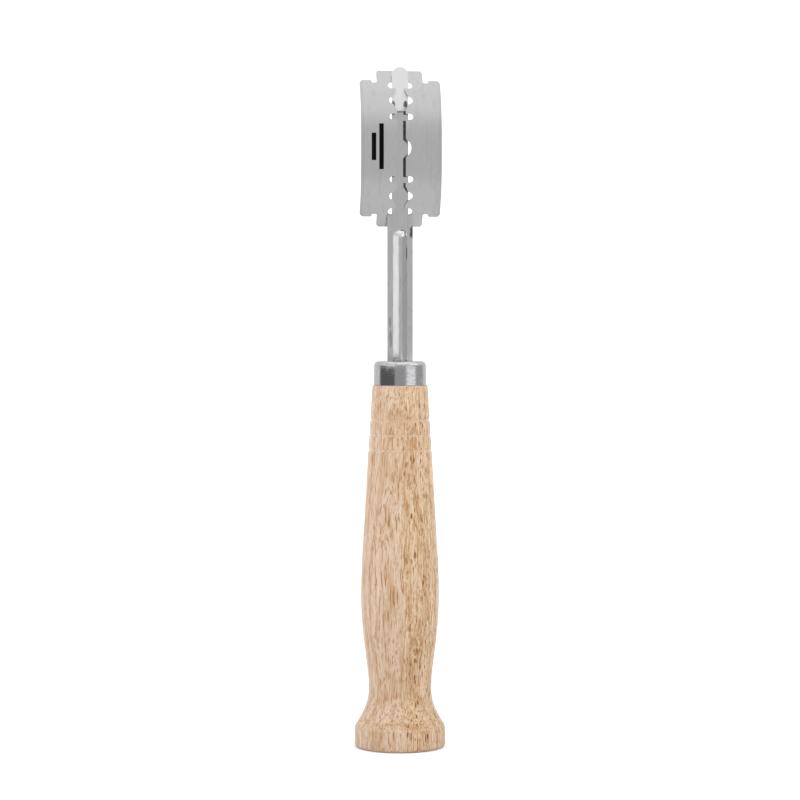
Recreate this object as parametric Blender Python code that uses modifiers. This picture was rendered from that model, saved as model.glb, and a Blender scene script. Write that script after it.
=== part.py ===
"""Bread lame: a turned wooden handle with a steel ferrule, and a stamped strip that holds a razor blade.

It stands upright on its butt. +Z runs along the handle to the blade, and the front faces -Y.
The origin is the centre of the butt face. Lengths in metres.
"""

import math

import bmesh
import bpy
from mathutils import Matrix, Vector

MM = 0.001

# Handle, turned from one piece of wood: height, radius and slope of the outline, in millimetres.
HANDLE_OUTLINE = (
    (97.6, 7.42, -0.08),
    (88.3, 8.02, -0.065),
    (60.1, 9.70, -0.06),
    (40.6, 10.53, 0.0),
    (27.5, 9.60, 0.12),
    (15.6, 8.45, 0.0),
    (8.1, 10.67, -0.58),
    (6.0, 11.93, -0.62),
)
OUTLINE_STEP = 3.4
BUTT_RADIUS = 12.22
BUTT_SHOULDER_Z = 5.3
BUTT_EDGE_RADIUS = 1.0
GROOVE_HEIGHTS = (88.3, 84.25, 80.2)
GROOVE_HALF_WIDTH = 0.55
GROOVE_DEPTH = 0.35
SPIGOT_RADIUS = 6.2
SPIGOT_TOP = 103.3
TURNED_STEPS = 40

# Ferrule, a drawn steel cup pushed over the spigot, with a slot in its closed top.
FERRULE_BOTTOM = 97.9
FERRULE_TOP = 104.1
FERRULE_TOP_RADIUS = 7.03
FERRULE_BOTTOM_RADIUS = 7.13
FERRULE_WALL = 0.5
FERRULE_EDGE_RADIUS = 1.2
FERRULE_SLOT = (7.6, 1.3)

# Blade holder, one stamped strip: tang, ribbed shank, shoulders and a straight tongue.
STRIP_THICKNESS = 0.42
TANG_BOTTOM = 72.0
TANG_HALF_WIDTH = 2.8
TANG_TOP = 100.9
SHANK_HALF_WIDTH = 3.46
SHOULDER_Z = 143.3
TONGUE_HALF_WIDTH = 2.22
TONGUE_TIP = 182.9
RIB_TOP = 139.7
RIB_BOTTOM = 104.25
RIB_HALF_WIDTH = 1.85
RIB_HEIGHT = 1.0
RIB_END_LENGTH = 0.5
RIB_TOP_LENGTH = 3.2

# Tang pocket in the handle, and the adhesive that fills it round the tang.
POCKET_SIZE = (8.0, 2.6)
POCKET_BOTTOM = 69.0
ADHESIVE_GAP = 0.25
ADHESIVE_BOTTOM = 69.3
ADHESIVE_TOP = 99.9

# Brad that pins the ferrule to the spigot, driven in from the front right.
BRAD_ANGLE = math.radians(42.0)
BRAD_HEIGHT = 98.8
BRAD_RADIUS = 0.5
BRAD_LENGTH = 4.6
BRAD_CLEARANCE = 0.12

# Double-edged razor blade, bowed forwards over the tongue.
BLADE_HALF_WIDTH = 11.0
BLADE_HALF_LENGTH = 21.5
BLADE_THICKNESS = 0.1
BLADE_TAB_HALF_WIDTH = 6.29
BLADE_WING_HALF_LENGTH = 18.65
WING_INNER_X = 7.65
DIP_BOTTOM = 17.9
BLADE_CENTRE_Z = 161.1
BLADE_END_ANGLE = math.radians(22.0)
BEND_END = 16.2
NOTCH_HEIGHT = 1.65
NOTCH_CENTRE = 17.1
DIAMOND_CENTRE = 12.85
CROSS_NOTCH_CENTRE = 8.36
SLOT_HALF_WIDTH = 1.2
BLADE_SLICE = 1.8

STEEL = (0.62, 0.62, 0.63)
BLADE_STEEL = (0.68, 0.68, 0.68)
WOOD = (0.72, 0.48, 0.29)
ADHESIVE = (0.85, 0.78, 0.55)


def clear_scene():
    for obj in list(bpy.data.objects):
        bpy.data.objects.remove(obj, do_unlink=True)


def new_collection(name):
    collection = bpy.data.collections.new(name)
    bpy.context.scene.collection.children.link(collection)
    return collection


def principled(name, color, roughness, metallic):
    material = bpy.data.materials.new(name)
    material.use_nodes = True
    shader = material.node_tree.nodes["Principled BSDF"]
    shader.inputs["Base Color"].default_value = (*color, 1.0)
    shader.inputs["Roughness"].default_value = roughness
    shader.inputs["Metallic"].default_value = metallic
    return material


def add_object(name, mesh, collection, material=None):
    obj = bpy.data.objects.new(name, mesh)
    collection.objects.link(obj)
    if material:
        mesh.materials.append(material)
    return obj


def mesh_of(name, bm):
    mesh = bpy.data.meshes.new(name)
    bm.to_mesh(mesh)
    bm.free()
    return mesh


def shade_round(mesh, angle=30.0):
    mesh.shade_smooth()
    mesh.set_sharp_from_angle(angle=math.radians(angle))


def turned(name, profile, collection, material):
    """A solid of revolution about Z from (radius, height) points, top to bottom down the outer side."""
    bm = bmesh.new()
    points = [bm.verts.new((radius * MM, 0.0, height * MM)) for radius, height in profile]
    for start, end in zip(points, points[1:]):
        bm.edges.new((start, end))
    obj = add_object(name, mesh_of(name, bm), collection, material)
    screw = obj.modifiers.new("Screw", "SCREW")
    screw.axis = "Z"
    screw.steps = TURNED_STEPS
    screw.render_steps = TURNED_STEPS
    screw.use_merge_vertices = True
    screw.merge_threshold = 0.00001
    screw.use_smooth_shade = True
    return obj


def arc(centre, radius, start, end, count):
    """Points on an arc, its angles in degrees."""
    angles = [math.radians(start + (end - start) * i / count) for i in range(count + 1)]
    return [(centre[0] + radius * math.cos(a), centre[1] + radius * math.sin(a)) for a in angles]


def box_cutter(name, size, low, high, collection):
    """A box centred on the axis, from height low to height high."""
    bm = bmesh.new()
    place = Matrix.Translation((0.0, 0.0, (low + high) / 2 * MM))
    scale = Matrix.Diagonal((size[0] * MM, size[1] * MM, (high - low) * MM, 1.0))
    bmesh.ops.create_cube(bm, size=1.0, matrix=place @ scale)
    return hidden(add_object(name, mesh_of(name, bm), collection))


def hidden(cutter):
    cutter.hide_render = True
    cutter.display_type = "WIRE"
    return cutter


def cut(obj, cutter):
    boolean = obj.modifiers.new(cutter.name, "BOOLEAN")
    boolean.operation = "DIFFERENCE"
    boolean.solver = "EXACT"
    boolean.object = cutter


def hermite(start, end, t):
    """Radius between two outline stations, each a height, a radius and a slope."""
    run = end[0] - start[0]
    square, cube = t * t, t * t * t
    return (
        (2 * cube - 3 * square + 1) * start[1]
        + (cube - 2 * square + t) * start[2] * run
        + (3 * square - 2 * cube) * end[1]
        + (cube - square) * end[2] * run
    )


def outline_radius(height):
    for start, end in zip(HANDLE_OUTLINE, HANDLE_OUTLINE[1:]):
        if height >= end[0]:
            return hermite(start, end, (height - start[0]) / (end[0] - start[0]))
    return HANDLE_OUTLINE[-1][1]


def handle_heights():
    """Heights of the outline's points, closer together where it turns faster, with the grooves' edges."""
    heights = []
    for start, end in zip(HANDLE_OUTLINE, HANDLE_OUTLINE[1:]):
        step = OUTLINE_STEP if start[0] > 30 else OUTLINE_STEP / 2
        count = max(2, round((start[0] - end[0]) / step))
        heights += [start[0] + (end[0] - start[0]) * i / count for i in range(count)]
    heights.append(HANDLE_OUTLINE[-1][0])
    clear = [h for h in heights if all(abs(h - g) > 2 * GROOVE_HALF_WIDTH for g in GROOVE_HEIGHTS)]
    for groove in GROOVE_HEIGHTS:
        clear += [groove + GROOVE_HALF_WIDTH, groove, groove - GROOVE_HALF_WIDTH]
    return sorted(clear, reverse=True)


def handle_profile():
    points = [(0.0, SPIGOT_TOP), (SPIGOT_RADIUS, SPIGOT_TOP), (SPIGOT_RADIUS, HANDLE_OUTLINE[0][0])]
    for height in handle_heights():
        depth = GROOVE_DEPTH if height in GROOVE_HEIGHTS else 0.0
        points.append((outline_radius(height) - depth, height))
    points.append((BUTT_RADIUS, BUTT_SHOULDER_Z))
    edge_centre = (BUTT_RADIUS - BUTT_EDGE_RADIUS, BUTT_EDGE_RADIUS)
    points += arc(edge_centre, BUTT_EDGE_RADIUS, 0.0, -90.0, 3)
    points.append((0.0, 0.0))
    return points


def make_handle(parts, cutters):
    handle = turned("handle", handle_profile(), parts, principled("wood", WOOD, 0.6, 0.0))
    pocket = box_cutter("tang_pocket", POCKET_SIZE, POCKET_BOTTOM, SPIGOT_TOP + 2.0, cutters)
    cut(handle, pocket)
    return handle


def ferrule_profile():
    """The cup's section, from the axis out along the top, down the side and back up inside."""
    centre = (FERRULE_TOP_RADIUS - FERRULE_EDGE_RADIUS, FERRULE_TOP - FERRULE_EDGE_RADIUS)
    inner_radius = FERRULE_BOTTOM_RADIUS - FERRULE_WALL
    inner_top = FERRULE_TOP - FERRULE_WALL
    points = [(0.0, FERRULE_TOP)]
    points += arc(centre, FERRULE_EDGE_RADIUS, 90.0, 0.0, 4)
    points.append((FERRULE_BOTTOM_RADIUS, FERRULE_BOTTOM))
    points.append((inner_radius, FERRULE_BOTTOM))
    points += arc(centre, FERRULE_EDGE_RADIUS - FERRULE_WALL, 0.0, 90.0, 2)
    points.append((0.0, inner_top))
    return points


def make_ferrule(parts, cutters):
    steel = principled("ferrule_steel", STEEL, 0.2, 1.0)
    ferrule = turned("ferrule", ferrule_profile(), parts, steel)
    slot = box_cutter("ferrule_slot", FERRULE_SLOT, FERRULE_TOP - 1.5, FERRULE_TOP + 1.0, cutters)
    cut(ferrule, slot)
    return ferrule


def brad_cylinder(radius, inner, outer):
    """A cylinder along the brad's line, between two distances from the handle's axis."""
    outward = Vector((math.sin(BRAD_ANGLE), -math.cos(BRAD_ANGLE), 0.0))
    middle = outward * ((inner + outer) / 2 * MM) + Vector((0.0, 0.0, BRAD_HEIGHT * MM))
    turn = outward.to_track_quat("Z", "Y").to_matrix().to_4x4()
    bm = bmesh.new()
    bmesh.ops.create_cone(
        bm,
        cap_ends=True,
        segments=16,
        radius1=radius * MM,
        radius2=radius * MM,
        depth=(outer - inner) * MM,
        matrix=Matrix.Translation(middle) @ turn,
    )
    return bm


def make_brad(parts, cutters, handle, ferrule):
    outer = FERRULE_BOTTOM_RADIUS
    inner = outer - BRAD_LENGTH
    mesh = mesh_of("ferrule_brad", brad_cylinder(BRAD_RADIUS, inner, outer))
    steel = principled("brad_steel", STEEL, 0.3, 1.0)
    brad = add_object("ferrule_brad", mesh, parts, steel)
    bevel = brad.modifiers.new("Bevel", "BEVEL")
    bevel.width = 0.12 * MM
    bevel.segments = 1
    bevel.limit_method = "ANGLE"
    hole = brad_cylinder(BRAD_RADIUS + BRAD_CLEARANCE, inner - 0.3, outer + 2.0)
    cutter = hidden(add_object("brad_hole", mesh_of("brad_hole", hole), cutters))
    cut(handle, cutter)
    cut(ferrule, cutter)


def make_adhesive(parts, cutters):
    size = [side - 2 * ADHESIVE_GAP for side in POCKET_SIZE]
    adhesive = box_cutter("tang_adhesive", size, ADHESIVE_BOTTOM, ADHESIVE_TOP, parts)
    adhesive.hide_render = False
    adhesive.display_type = "TEXTURED"
    adhesive.data.materials.append(principled("adhesive", ADHESIVE, 0.4, 0.0))
    around_tang = (2 * (TANG_HALF_WIDTH + ADHESIVE_GAP), STRIP_THICKNESS + 2 * ADHESIVE_GAP)
    tang_space = box_cutter(
        "tang_space", around_tang, TANG_BOTTOM - ADHESIVE_GAP, ADHESIVE_TOP + 1.0, cutters
    )
    cut(adhesive, tang_space)


def strip_heights():
    """Heights of the strip's rows, from the tang's end to the tongue's tip."""
    rib_steps = [RIB_BOTTOM + RIB_END_LENGTH * share for share in (-0.2, 0.0, 0.5, 1.0)]
    rib_steps += [RIB_TOP - RIB_TOP_LENGTH * share for share in (1.0, 0.8, 0.6, 0.4, 0.2, 0.0, -0.05)]
    tip_centre = TONGUE_TIP - TONGUE_HALF_WIDTH
    tip = [tip_centre + TONGUE_HALF_WIDTH * math.sin(math.radians(a)) for a in (0, 25, 45, 65, 85)]
    tang = [TANG_BOTTOM, TANG_BOTTOM + 1.0, TANG_TOP, TANG_TOP + 0.7]
    shoulder = [SHOULDER_Z - 0.5, SHOULDER_Z - 0.15, SHOULDER_Z]
    return tang + rib_steps + shoulder + tip


def strip_half_width(height):
    """Half the strip's width at this height, with chamfered tang corners and a round tip."""
    above_tip_centre = height - (TONGUE_TIP - TONGUE_HALF_WIDTH)
    if above_tip_centre > 0:
        return math.sqrt(TONGUE_HALF_WIDTH**2 - above_tip_centre**2)
    if height > SHOULDER_Z - 0.01:
        return TONGUE_HALF_WIDTH
    if height > SHOULDER_Z - 0.3:
        return SHANK_HALF_WIDTH - 0.3
    if height > TANG_TOP + 0.6:
        return SHANK_HALF_WIDTH
    if height > TANG_BOTTOM + 0.5:
        return TANG_HALF_WIDTH
    return TANG_HALF_WIDTH - 1.0


def rib_height(across, height):
    """How far the pressed rib stands forward: a rounded ridge, round at its top and short at its foot."""
    beyond = max(0.0, height - RIB_TOP + RIB_TOP_LENGTH)
    reach = math.hypot(across / RIB_HALF_WIDTH, beyond / RIB_TOP_LENGTH)
    run = (height - RIB_BOTTOM) / RIB_END_LENGTH
    if run <= 0 or reach >= 1.0:
        return 0.0
    return RIB_HEIGHT * math.sin(min(run, 1.0) * math.pi / 2) * (1.0 - reach**1.5)


def make_blade_holder(parts):
    """A grid laid over the strip's outline, pushed forward at the rib and given its thickness."""
    heights = strip_heights()
    columns = [-SHANK_HALF_WIDTH, -RIB_HALF_WIDTH, -1.15, -0.5, 0.0, 0.5, 1.15]
    columns += [RIB_HALF_WIDTH, SHANK_HALF_WIDTH]
    bm = bmesh.new()
    bmesh.ops.create_grid(bm, x_segments=len(columns) - 1, y_segments=len(heights) - 1, size=1.0)
    for vert in bm.verts:
        column = round((vert.co.x + 1) / 2 * (len(columns) - 1))
        height = heights[round((vert.co.y + 1) / 2 * (len(heights) - 1))]
        across = columns[column] * strip_half_width(height) / SHANK_HALF_WIDTH
        forward = rib_height(across, height)
        vert.co = Vector((across, -forward, height)) * MM
    bmesh.ops.recalc_face_normals(bm, faces=bm.faces)
    if bm.faces[0].normal.y > 0:
        bmesh.ops.reverse_faces(bm, faces=bm.faces)
    mesh = mesh_of("blade_holder", bm)
    holder = add_object("blade_holder", mesh, parts, principled("strip_steel", STEEL, 0.25, 1.0))
    solid = holder.modifiers.new("Solidify", "SOLIDIFY")
    solid.thickness = STRIP_THICKNESS * MM
    solid.offset = 0.0
    solid.use_even_offset = True
    solid.use_rim = True
    shade_round(mesh)


def mirrored_quadrants(quadrant):
    """A closed outline from the points of its first quadrant, given from the X axis to the Y axis."""
    upper = quadrant + [(-x, y) for x, y in reversed(quadrant) if x > 0]
    lower = [(x, -y) for x, y in reversed(upper) if y > 0]
    return upper + lower


def blade_outline():
    """A quarter of the blade's edge: the cutting edge, the wing's rounded end, the dip and the tab."""
    wing_corner = (BLADE_HALF_WIDTH - 1.1, BLADE_WING_HALF_LENGTH - 1.1)
    wing_inner = (WING_INNER_X + 0.5, BLADE_WING_HALF_LENGTH - 0.5)
    tab_corner = (BLADE_TAB_HALF_WIDTH - 0.9, BLADE_HALF_LENGTH - 0.9)
    points = [(BLADE_HALF_WIDTH, 0.0)]
    points += arc(wing_corner, 1.1, 0.0, 90.0, 4)
    points += arc(wing_inner, 0.5, 90.0, 180.0, 3)
    points += arc((WING_INNER_X - 0.2, DIP_BOTTOM + 0.2), 0.2, 0.0, -90.0, 2)
    points += arc((BLADE_TAB_HALF_WIDTH + 0.4, DIP_BOTTOM + 0.4), 0.4, -90.0, -180.0, 3)
    points += arc(tab_corner, 0.9, 0.0, 90.0, 3)
    return mirrored_quadrants(points + [(0.0, BLADE_HALF_LENGTH)])


def blade_slot():
    """A quarter of the slot: centre hole, cross notch, rounded diamond and end notch."""
    hole_radius = 2.65
    neck_angle = math.degrees(math.asin(2.2 / hole_radius))
    notch_bottom = NOTCH_CENTRE - NOTCH_HEIGHT / 2
    notch_top = NOTCH_CENTRE + NOTCH_HEIGHT / 2
    points = arc((0.0, 0.0), hole_radius, 0.0, neck_angle, 5)
    points += [(SLOT_HALF_WIDTH, 2.6), (SLOT_HALF_WIDTH, CROSS_NOTCH_CENTRE - 0.8)]
    points += arc((2.4, CROSS_NOTCH_CENTRE), 0.8, -90.0, 90.0, 6)
    points += [(SLOT_HALF_WIDTH, CROSS_NOTCH_CENTRE + 0.8)]
    points += [(SLOT_HALF_WIDTH, DIAMOND_CENTRE - 2.6), (2.1, DIAMOND_CENTRE - 1.1)]
    points += arc((2.3, DIAMOND_CENTRE), 0.9, -70.0, 70.0, 6)
    points += [(2.1, DIAMOND_CENTRE + 1.1), (SLOT_HALF_WIDTH, DIAMOND_CENTRE + 2.6)]
    points += [(SLOT_HALF_WIDTH, notch_bottom)]
    points += arc((2.45, NOTCH_CENTRE), NOTCH_HEIGHT / 2, -90.0, 90.0, 6)
    return mirrored_quadrants(points + [(0.0, notch_top)])


def filled_outline(name, outlines, thickness, collection):
    """A flat plate in the XY plane from closed outlines, each one inside another being a hole."""
    curve = bpy.data.curves.new(name, "CURVE")
    curve.dimensions = "2D"
    curve.fill_mode = "BOTH"
    curve.extrude = thickness / 2 * MM
    for outline in outlines:
        spline = curve.splines.new("POLY")
        spline.points.add(len(outline) - 1)
        for point, (x, y) in zip(spline.points, outline):
            point.co = (x * MM, y * MM, 0.0, 1.0)
        spline.use_cyclic_u = True
    flat = bpy.data.objects.new(name + "_flat", curve)
    collection.objects.link(flat)
    bpy.context.view_layer.update()
    graph = bpy.context.evaluated_depsgraph_get()
    mesh = bpy.data.meshes.new_from_object(flat.evaluated_get(graph))
    bpy.data.objects.remove(flat, do_unlink=True)
    bm = bmesh.new()
    bm.from_mesh(mesh)
    bmesh.ops.remove_doubles(bm, verts=bm.verts, dist=0.000001)
    bpy.data.meshes.remove(mesh)
    return bm


def bow_stations():
    """Points along half of the bowed blade: length from its centre, backward and upward travel, angle."""
    count = round(BEND_END / BLADE_SLICE)
    lengths = [BEND_END * i / count for i in range(count + 1)] + [BLADE_HALF_LENGTH]
    stations = []
    back, up, travelled = 0.0, 0.0, 0.0
    for length in lengths:
        steps = 20
        for i in range(steps):
            along = travelled + (length - travelled) * (i + 0.5) / steps
            angle = BLADE_END_ANGLE * min(along / BEND_END, 1.0) ** 2
            back += math.sin(angle) * (length - travelled) / steps
            up += math.cos(angle) * (length - travelled) / steps
        travelled = length
        stations.append((length, back, up, BLADE_END_ANGLE * min(length / BEND_END, 1.0) ** 2))
    return stations


def bowed(stations, along, outward):
    """Where a point of the flat blade goes: backward and upward, straight between two stations."""
    for start, end in zip(stations, stations[1:]):
        if abs(along) <= end[0] + 1e-9:
            break
    share = (abs(along) - start[0]) / (end[0] - start[0])
    back, up, angle = (a + (b - a) * share for a, b in zip(start[1:], end[1:]))
    back -= outward * math.cos(angle)
    up += outward * math.sin(angle)
    return back, math.copysign(up, along)


def make_blade(parts):
    bm = filled_outline("razor_blade", (blade_outline(), blade_slot()), BLADE_THICKNESS, parts)
    stations = bow_stations()
    levels = [side * station[0] for station in stations[:-1] for side in (-1, 1)]
    for level in sorted(set(levels)):
        geometry = bm.verts[:] + bm.edges[:] + bm.faces[:]
        bmesh.ops.bisect_plane(
            bm, geom=geometry, dist=1e-7, plane_co=(0.0, level * MM, 0.0), plane_no=(0.0, 1.0, 0.0)
        )
    notch_back = bowed(stations, NOTCH_CENTRE, 0.0)[0]
    for vert in bm.verts:
        back, up = bowed(stations, vert.co.y / MM, vert.co.z / MM)
        vert.co.y = (back - notch_back) * MM
        vert.co.z = up * MM
    mesh = mesh_of("razor_blade", bm)
    blade = add_object("razor_blade", mesh, parts, principled("blade_steel", BLADE_STEEL, 0.3, 1.0))
    blade.location = (0.0, 0.0, BLADE_CENTRE_Z * MM)


def main():
    clear_scene()
    parts = new_collection("bread_lame")
    cutters = new_collection("cutters")
    cutters.hide_render = True
    handle = make_handle(parts, cutters)
    ferrule = make_ferrule(parts, cutters)
    make_brad(parts, cutters, handle, ferrule)
    make_adhesive(parts, cutters)
    make_blade_holder(parts)
    make_blade(parts)


main()
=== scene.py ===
"""Looks of the bread lame: turned hardwood handle, polished ferrule, stamped strip, bowed razor blade."""

import math

import bmesh
import bpy
from mathutils import Matrix, Vector


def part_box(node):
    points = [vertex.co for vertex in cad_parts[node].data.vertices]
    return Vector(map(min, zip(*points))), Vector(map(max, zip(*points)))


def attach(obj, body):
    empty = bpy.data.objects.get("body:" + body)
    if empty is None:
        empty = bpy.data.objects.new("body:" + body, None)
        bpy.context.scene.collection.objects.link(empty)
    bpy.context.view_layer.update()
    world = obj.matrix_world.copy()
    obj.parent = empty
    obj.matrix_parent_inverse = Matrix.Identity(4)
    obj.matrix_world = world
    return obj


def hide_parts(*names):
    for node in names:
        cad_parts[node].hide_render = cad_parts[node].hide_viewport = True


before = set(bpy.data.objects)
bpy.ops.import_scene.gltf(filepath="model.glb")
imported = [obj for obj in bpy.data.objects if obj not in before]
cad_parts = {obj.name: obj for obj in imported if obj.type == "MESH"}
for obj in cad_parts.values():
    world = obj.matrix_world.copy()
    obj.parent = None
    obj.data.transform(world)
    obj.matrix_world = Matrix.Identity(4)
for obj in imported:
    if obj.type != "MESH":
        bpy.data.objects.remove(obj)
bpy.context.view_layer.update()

MM = 0.001

# Handle outline: height, radius and slope of the turned profile, in millimetres.
HANDLE_OUTLINE = (
    (97.6, 7.42, -0.08),
    (88.3, 8.02, -0.065),
    (60.1, 9.70, -0.06),
    (40.6, 10.53, 0.0),
    (27.5, 9.60, 0.12),
    (15.6, 8.45, 0.0),
    (8.1, 10.67, -0.58),
    (6.0, 11.93, -0.62),
)
GROOVE_HEIGHTS = (88.3, 84.25, 80.2)
GROOVE_HALF_WIDTH = 0.75
GROOVE_DEPTH = 0.34
BUTT_RADIUS = 12.22
BUTT_SHOULDER_Z = 5.3
BUTT_SHOULDER_EASING = ((-0.1, 0.22), (0.0, -0.1))
BUTT_EDGE_RADIUS = 1.0
HANDLE_SHOULDER_RADIUS = 0.35
HANDLE_FIRST_ROW = 0.4
HANDLE_ROW_STEP = 0.35
GROOVE_ROW_STEP = 0.12
GROOVE_ROWS_REACH = 1.4
HANDLE_SEGMENTS = 192
SPIGOT_RADIUS = 6.2
SPIGOT_CHAMFER = 0.3

# Ferrule section, in millimetres.
FERRULE_TOP_RADIUS = 7.03
FERRULE_BOTTOM_RADIUS = 7.13
FERRULE_WALL = 0.5
FERRULE_EDGE_RADIUS = 1.2
FERRULE_LIP_RADIUS = 0.12
FERRULE_GAP = 0.02
FERRULE_SLOT = (7.6, 1.3)
FERRULE_SLOT_DEPTH = 1.5
FERRULE_SEGMENTS = 128

# The ferrule's top is a little hollow: shares of its radius, and how far it dips there.
FERRULE_DISH = ((0.0, 0.08), (0.5, 0.03))

# Brad in the ferrule, front right, in millimetres.
BRAD_ANGLE = math.radians(42.0)
BRAD_RADIUS = 0.5
BRAD_DOME_RADIUS = 0.2
BRAD_DOME_HEIGHT = 0.02
BRAD_LENGTH = 3.0
BRAD_SEGMENTS = 32

# Strip: widths, shoulder and pressed rib, in millimetres.
STRIP_THICKNESS = 0.42
TANG_HALF_WIDTH = 2.8
TANG_TOP = 100.9
TANG_TIP = 1.0
TANG_STEP = 0.7
SHANK_HALF_WIDTH = 3.46
SHOULDER_Z = 143.3
SHOULDER_RADIUS = 0.3
TONGUE_HALF_WIDTH = 2.22
RIB_TOP = 139.1
RIB_BOTTOM = 104.15
RIB_HALF_WIDTH = 1.85
RIB_HEIGHT = 0.98
RIB_END_LENGTH = 0.25
RIB_TOP_LENGTH = 1.8
COINED_ABOVE = 171.25
COINED_GROOVE = (0.12, 0.07)
STRIP_HALF_COLUMNS = 24
STRIP_ROW_STEP = 0.6
STRIP_ROW_GAP = 0.08
RIB_ROW_STEP = 0.15
RIB_ROWS_REACH = 2.2

# Dark marks on the strip's front: centre across and up, and two half sizes, in millimetres.
# The first is a dent mark at the right edge; the next three are painted shade along the rib's right flank
# and round its top; the last two are painted reflections of the blade's diamond edges on the tongue.
PRESS_MARKS_AND_PAINTED_SHADE = (
    ((3.2, 138.6), 0.6, 1.7),
    ((1.75, 133.2), 0.17, 2.1),
    ((0.5, 139.2), 0.7, 0.14),
    ((1.3, 138.2), 0.22, 0.8),
    ((-1.8, 172.9), 0.5, 1.0),
    ((1.35, 172.9), 0.6, 1.0),
)
FAINT_MARKS = (
    ((-2.6, 110.2), 0.4, 2.4),
    ((-2.75, 114.5), 0.25, 1.6),
)

# Razor blade: flat outline and bow, in millimetres.
BLADE_HALF_WIDTH = 11.0
BLADE_HALF_LENGTH = 21.5
BLADE_THICKNESS = 0.1
BLADE_TAB_HALF_WIDTH = 6.29
BLADE_WING_HALF_LENGTH = 18.65
WING_INNER_X = 7.65
WING_OUTER_RADIUS = 1.1
WING_INNER_RADIUS = 0.5
DIP_BOTTOM = 17.9
DIP_WING_RADIUS = 0.2
DIP_TAB_RADIUS = 0.4
TAB_CORNER_RADIUS = 0.9
BLADE_CENTRE_Z = 161.1
BLADE_END_ANGLE = math.radians(22.0)
BLADE_GRIND_WIDTH = 0.9
BLADE_GRIND_THINNING = 0.85
BEND_END = 16.2
BEND_STEPS = 20
BLADE_SLICE = 0.6

# Razor blade's slot, from its centre outwards: hole, cross notch, rounded diamond and end notch.
SLOT_HALF_WIDTH = 1.2
HOLE_RADIUS = 2.65
HOLE_NECK = 2.2
HOLE_END = 2.6
CROSS_NOTCH_CENTRE = 8.36
CROSS_NOTCH_X = 2.4
CROSS_NOTCH_RADIUS = 0.8
DIAMOND_CENTRE = 12.85
DIAMOND_HALF_LENGTH = 2.6
DIAMOND_FLANK = (2.1, 1.1)
DIAMOND_ROUND_X = 2.3
DIAMOND_ROUND_RADIUS = 0.9
DIAMOND_ROUND_ANGLE = 70.0
NOTCH_CENTRE = 17.1
NOTCH_X = 2.45
NOTCH_HEIGHT = 1.65

# How near two points of the flat blade are when they become one, in metres.
OUTLINE_MERGE = 0.000001

# Plain bars printed on the blade's front: centre, half width and half height from the blade's centre.
PRINTED_BARS = (
    ((-5.45, 0.4), 0.62, 6.1),
    ((-7.5, 0.35), 0.62, 3.65),
)

# Camera: a little to the tool's left, a little higher than the ferrule, looking slightly down.
CAMERA_AZIMUTH = math.radians(-10.5)
CAMERA_PITCH = math.radians(-2.086)
CAMERA_DISTANCE = 670 * MM
CAMERA_HEIGHT = 118 * MM
CAMERA_LENS = 112.05
CAMERA_SENSOR = 36.0

# Studio surround, by direction in degrees: azimuth 0 is in front of the tool, and positive to its right.
# Each part of it is its left and right side, how softly they end, its lower and upper side, and its
# brightness.
FLOOR_LIGHT = 0.75
HORIZON_LIGHT = 0.64
HIGH_LIGHT = 0.93
OVERHEAD_LIGHT = 1.35
SURROUND = (
    (-76.0, -32.0, 8.0, -18.0, 18.0, 1.2),
    (36.0, 88.0, 6.0, 18.0, 50.0, 1.5),
    (48.0, 105.0, 3.0, -30.0, 10.0, 0.5),
    (112.0, 190.0, 3.0, -30.0, 45.0, 0.85),
    (-190.0, -112.0, 3.0, -30.0, 45.0, 0.85),
)

# Card wrapped round the front of the ferrule, below its top, which shows only in its reflections.
# Each band on it is its left and right side in degrees, how softly they end, and its brightness.
CARD_SIDES = (-99.5, 64.0)
CARD_DISTANCE = 36.0
CARD_HEIGHTS = (80.0, 104.6)
CARD_BRIGHTNESS = 0.46
CARD_BANDS = (
    (-110.0, -31.5, 2.0, 0.14),
    (15.5, 54.0, 7.0, 1.2),
)
CARD_STEPS = 32

# Floor and backdrop, the white wall round them, and where the lamps point, in metres.
FLOOR_HALF_WIDTH = 3.0
FLOOR_FRONT = 3.0
BACKDROP_DISTANCE = 1.2
BACKDROP_BEND = 0.5
BACKDROP_HEIGHT = 2.2
FAR_WALL_RADIUS = 2.9
FAR_WALL_HEIGHT = 4.0
LAMP_TARGET = (0.0, 0.0, 0.09)

PAPER_WHITE = 0.93
RAY_KINDS = ("camera", "diffuse", "glossy", "shadow", "transmission")


# ---------------------------------------------------------------- materials


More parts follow.
